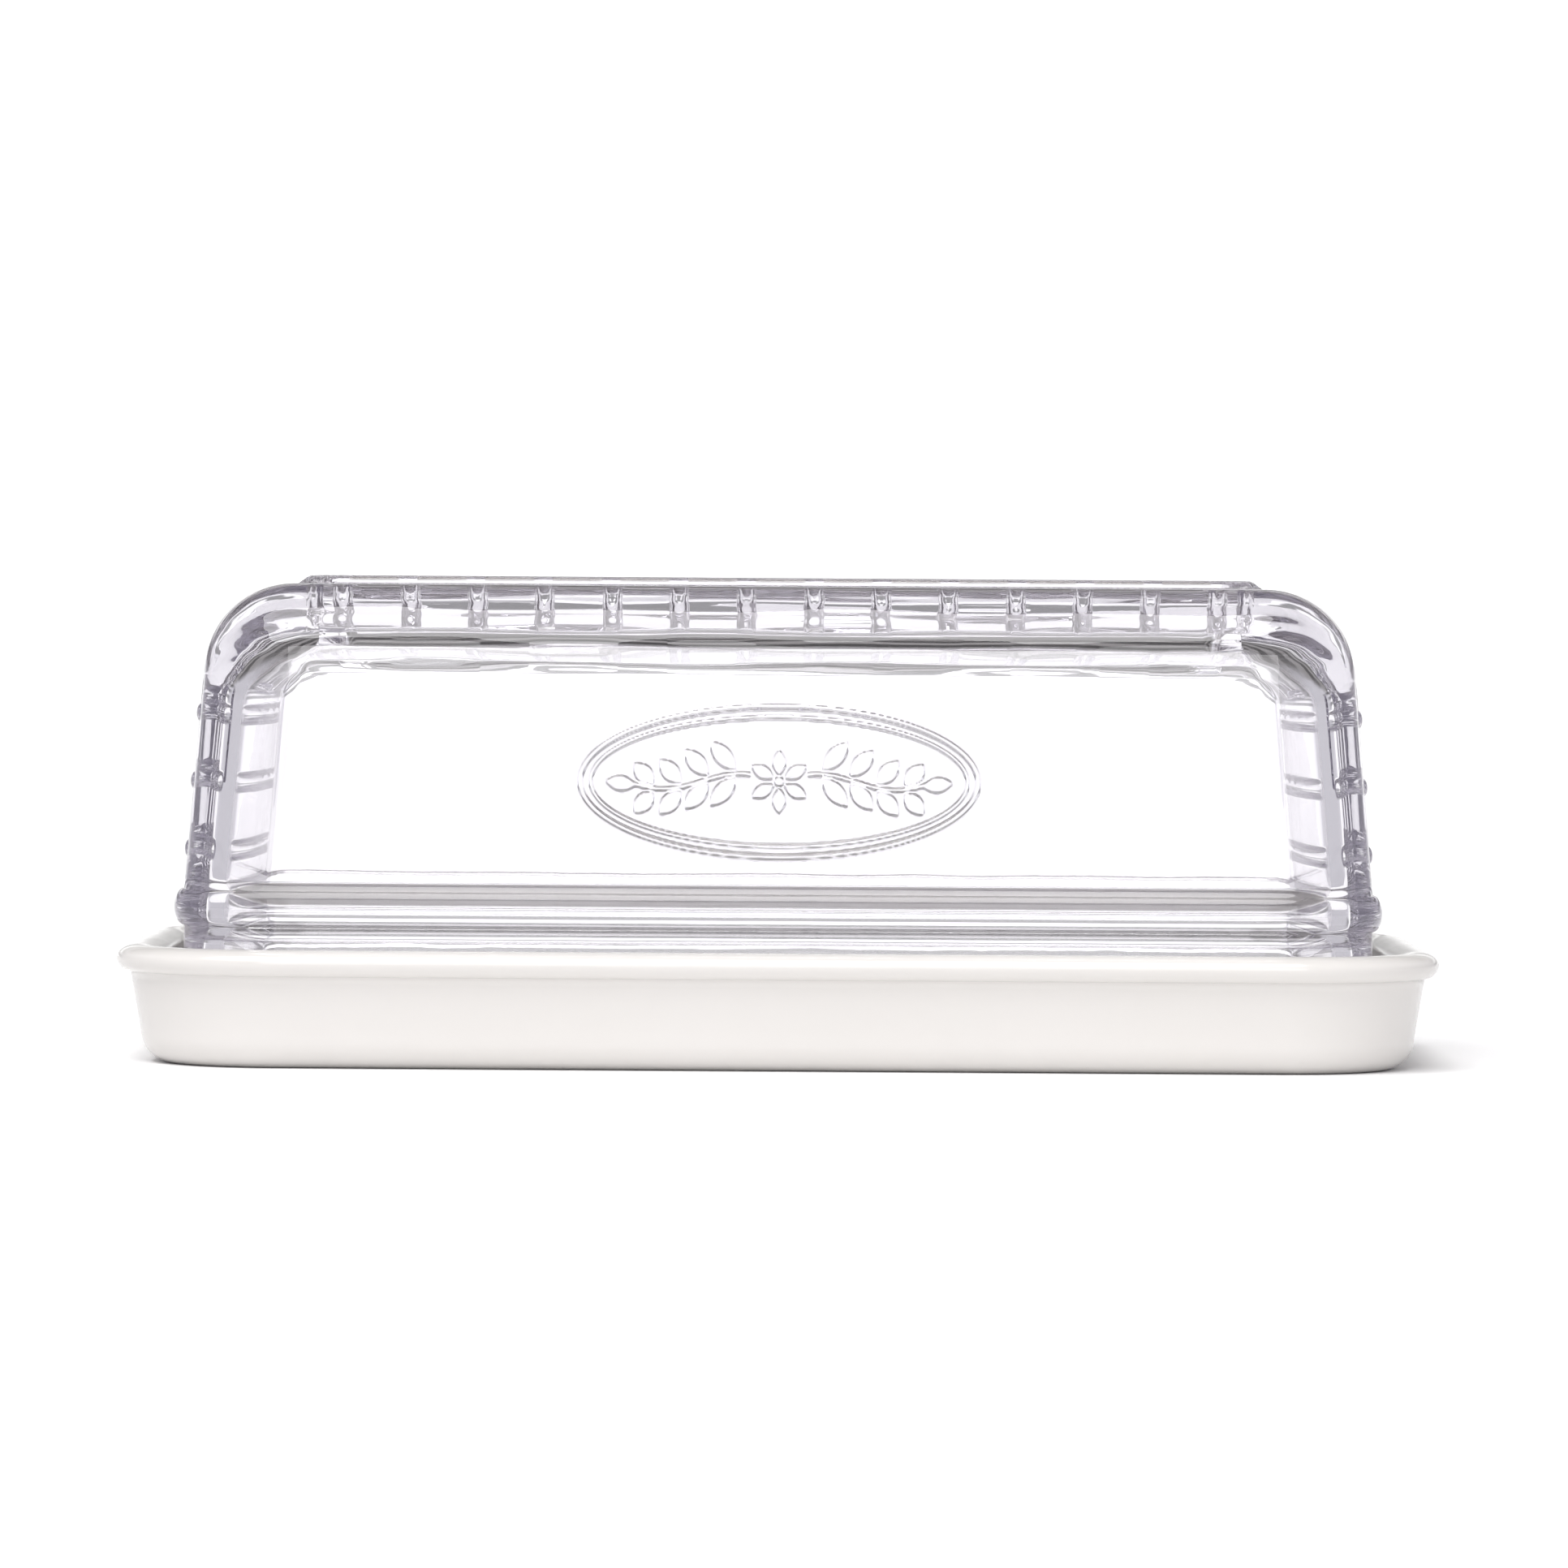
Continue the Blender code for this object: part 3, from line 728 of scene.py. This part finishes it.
def bare_stoneware():
    """Unglazed foot ring, wiped before firing. Gives the eye a matt, sandy line warmer than the glaze."""
    material, tree, shader = finish("bare_stoneware_foot")
    grit = unevenness(tree, GRIT[0], 4.0)
    tone = add(tree, "ShaderNodeMix", {"data_type": "RGBA"},
               {"Factor": grit, 6: linear("#E6DFD2"), 7: linear("#CFC5B4")})
    tree.links.new(tone.outputs[2], shader.inputs["Base Color"])
    shader.inputs["Roughness"].default_value = 0.85
    grain = add(tree, "ShaderNodeBump", inputs={"Height": grit, "Distance": GRIT[1], "Strength": 0.8})
    tree.links.new(grain.outputs[0], shader.inputs["Normal"])
    return material


# ==== the studio ==================================================================================
def light_tent():
    """Soft studio surround: a white cloth behind, dimmer cloth at the sides, above and in front."""
    world = bpy.data.worlds.new("light_tent")
    world.use_nodes = True
    tree = world.node_tree
    tree.nodes.clear()
    towards = add(tree, "ShaderNodeTexCoord").outputs["Generated"]

    def patch(colour_before, colour, direction, outer, inner):
        """Cloth of another brightness round a direction, blended between two angles in degrees."""
        near = add(tree, "ShaderNodeVectorMath", {"operation": "DOT_PRODUCT"}, {0: towards, 1: direction})
        edge = add(tree, "ShaderNodeMapRange", {"interpolation_type": "SMOOTHSTEP"},
                   {"Value": near.outputs["Value"], "From Min": math.cos(math.radians(outer)),
                    "From Max": math.cos(math.radians(inner))})
        return add(tree, "ShaderNodeMix", {"data_type": "RGBA"},
                   {"Factor": edge, 6: colour_before, 7: colour}).outputs[2]

    cloth = TENT_SIDE
    for colour, direction, outer, inner in TENT_PATCHES:
        cloth = patch(cloth, colour, direction, outer, inner)

    # level bands of dimmer cloth in front and behind
    across, _, height = add(tree, "ShaderNodeSeparateXYZ", inputs={0: towards}).outputs
    across = add(tree, "ShaderNodeMath", {"operation": "ABSOLUTE"}, {0: across})
    turn = add(tree, "ShaderNodeMath", {"operation": "MULTIPLY_ADD"},
               {0: height, 1: CLOTH_BANDS * math.pi, 2: CLOTH_BAND_START})
    swing = add(tree, "ShaderNodeMath", {"operation": "SINE"}, {0: turn})
    band = add(tree, "ShaderNodeMapRange", {"interpolation_type": "SMOOTHSTEP"},
               {"Value": swing, "From Min": -CLOTH_BAND_EDGE, "From Max": CLOTH_BAND_EDGE,
                "To Min": CLOTH_DIM, "To Max": CLOTH_BRIGHT})
    ahead = add(tree, "ShaderNodeMapRange", {"interpolation_type": "SMOOTHSTEP"},
                {"Value": across, "From Min": CLOTH_BAND_END, "From Max": CLOTH_BAND_END - CLOTH_BAND_FADE})
    cloth = add(tree, "ShaderNodeMix", {"data_type": "RGBA", "blend_type": "MULTIPLY"},
                {"Factor": ahead, 6: cloth, 7: band}).outputs[2]

    # looked at directly, the surround is plain white
    direct = add(tree, "ShaderNodeLightPath").outputs["Is Camera Ray"]
    seen = add(tree, "ShaderNodeMix", {"data_type": "RGBA"}, {"Factor": direct, 6: cloth, 7: TENT_BACK})
    light = add(tree, "ShaderNodeBackground", inputs={"Color": seen.outputs[2]})
    add(tree, "ShaderNodeOutputWorld", inputs={"Surface": light})
    return world


def paper_sweep():
    """White background paper. Gives the eye an even, matt ground with only a soft shadow."""
    material, _, shader = finish("pale_paper_sweep")
    shader.inputs["Base Color"].default_value = linear("#FAFAFA")
    shader.inputs["Roughness"].default_value = 1.0
    shader.inputs["Specular IOR Level"].default_value = 0.0
    return material


def hang_lamp(name, kind, power, place, turn):
    lamp = bpy.data.lights.new(name, kind)
    lamp.energy = power
    holder = bpy.data.objects.new(name, lamp)
    holder.location = place
    holder.rotation_euler = [math.radians(angle) for angle in turn]
    bpy.context.scene.collection.objects.link(holder)
    return lamp


def build_studio():
    scene = bpy.context.scene
    scene.view_settings.view_transform = "Standard"
    scene.cycles.max_bounces = ALL_BOUNCES
    scene.cycles.glossy_bounces = GLASS_BOUNCES
    scene.cycles.transmission_bounces = GLASS_BOUNCES
    scene.world = light_tent()

    floor_data = bpy.data.meshes.new("studio_floor")
    corners = [(x * FLOOR_SIZE, y * FLOOR_SIZE, 0) for x, y in ((-1, -1), (1, -1), (1, 1), (-1, 1))]
    floor_data.from_pydata(corners, [], [(0, 1, 2, 3)])
    floor = bpy.data.objects.new("studio_floor", floor_data)
    scene.collection.objects.link(floor)
    floor_data.materials.append(paper_sweep())

    hang_lamp("overhead_softbox", "SUN", LAMP_POWER, LAMP_PLACE, LAMP_TURN).angle = math.radians(LAMP_SPREAD)
    hang_lamp("front_softbox", "AREA", FILL_POWER, FILL_PLACE, FILL_TURN).size = FILL_SIZE


def build_camera():
    data = bpy.data.cameras.new("level_camera")
    data.sensor_width = 36
    data.lens = LENS
    camera = bpy.data.objects.new("level_camera", data)
    camera.location = CAMERA_PLACE
    camera.rotation_euler = [math.radians(angle) for angle in CAMERA_TURN]
    bpy.context.scene.collection.objects.link(camera)
    bpy.context.scene.camera = camera


# ==== assembly ====================================================================================
glass = pressed_glass()
lid = build_lid()
press_ribs(lid, glass)
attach(lid, "lid")
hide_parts("glass_lid")

dish = build_dish()
dish.data.materials.append(glazed_stoneware())
dish.data.materials.append(bare_stoneware())
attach(dish, "dish")
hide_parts("ceramic_dish")

build_studio()
build_camera()
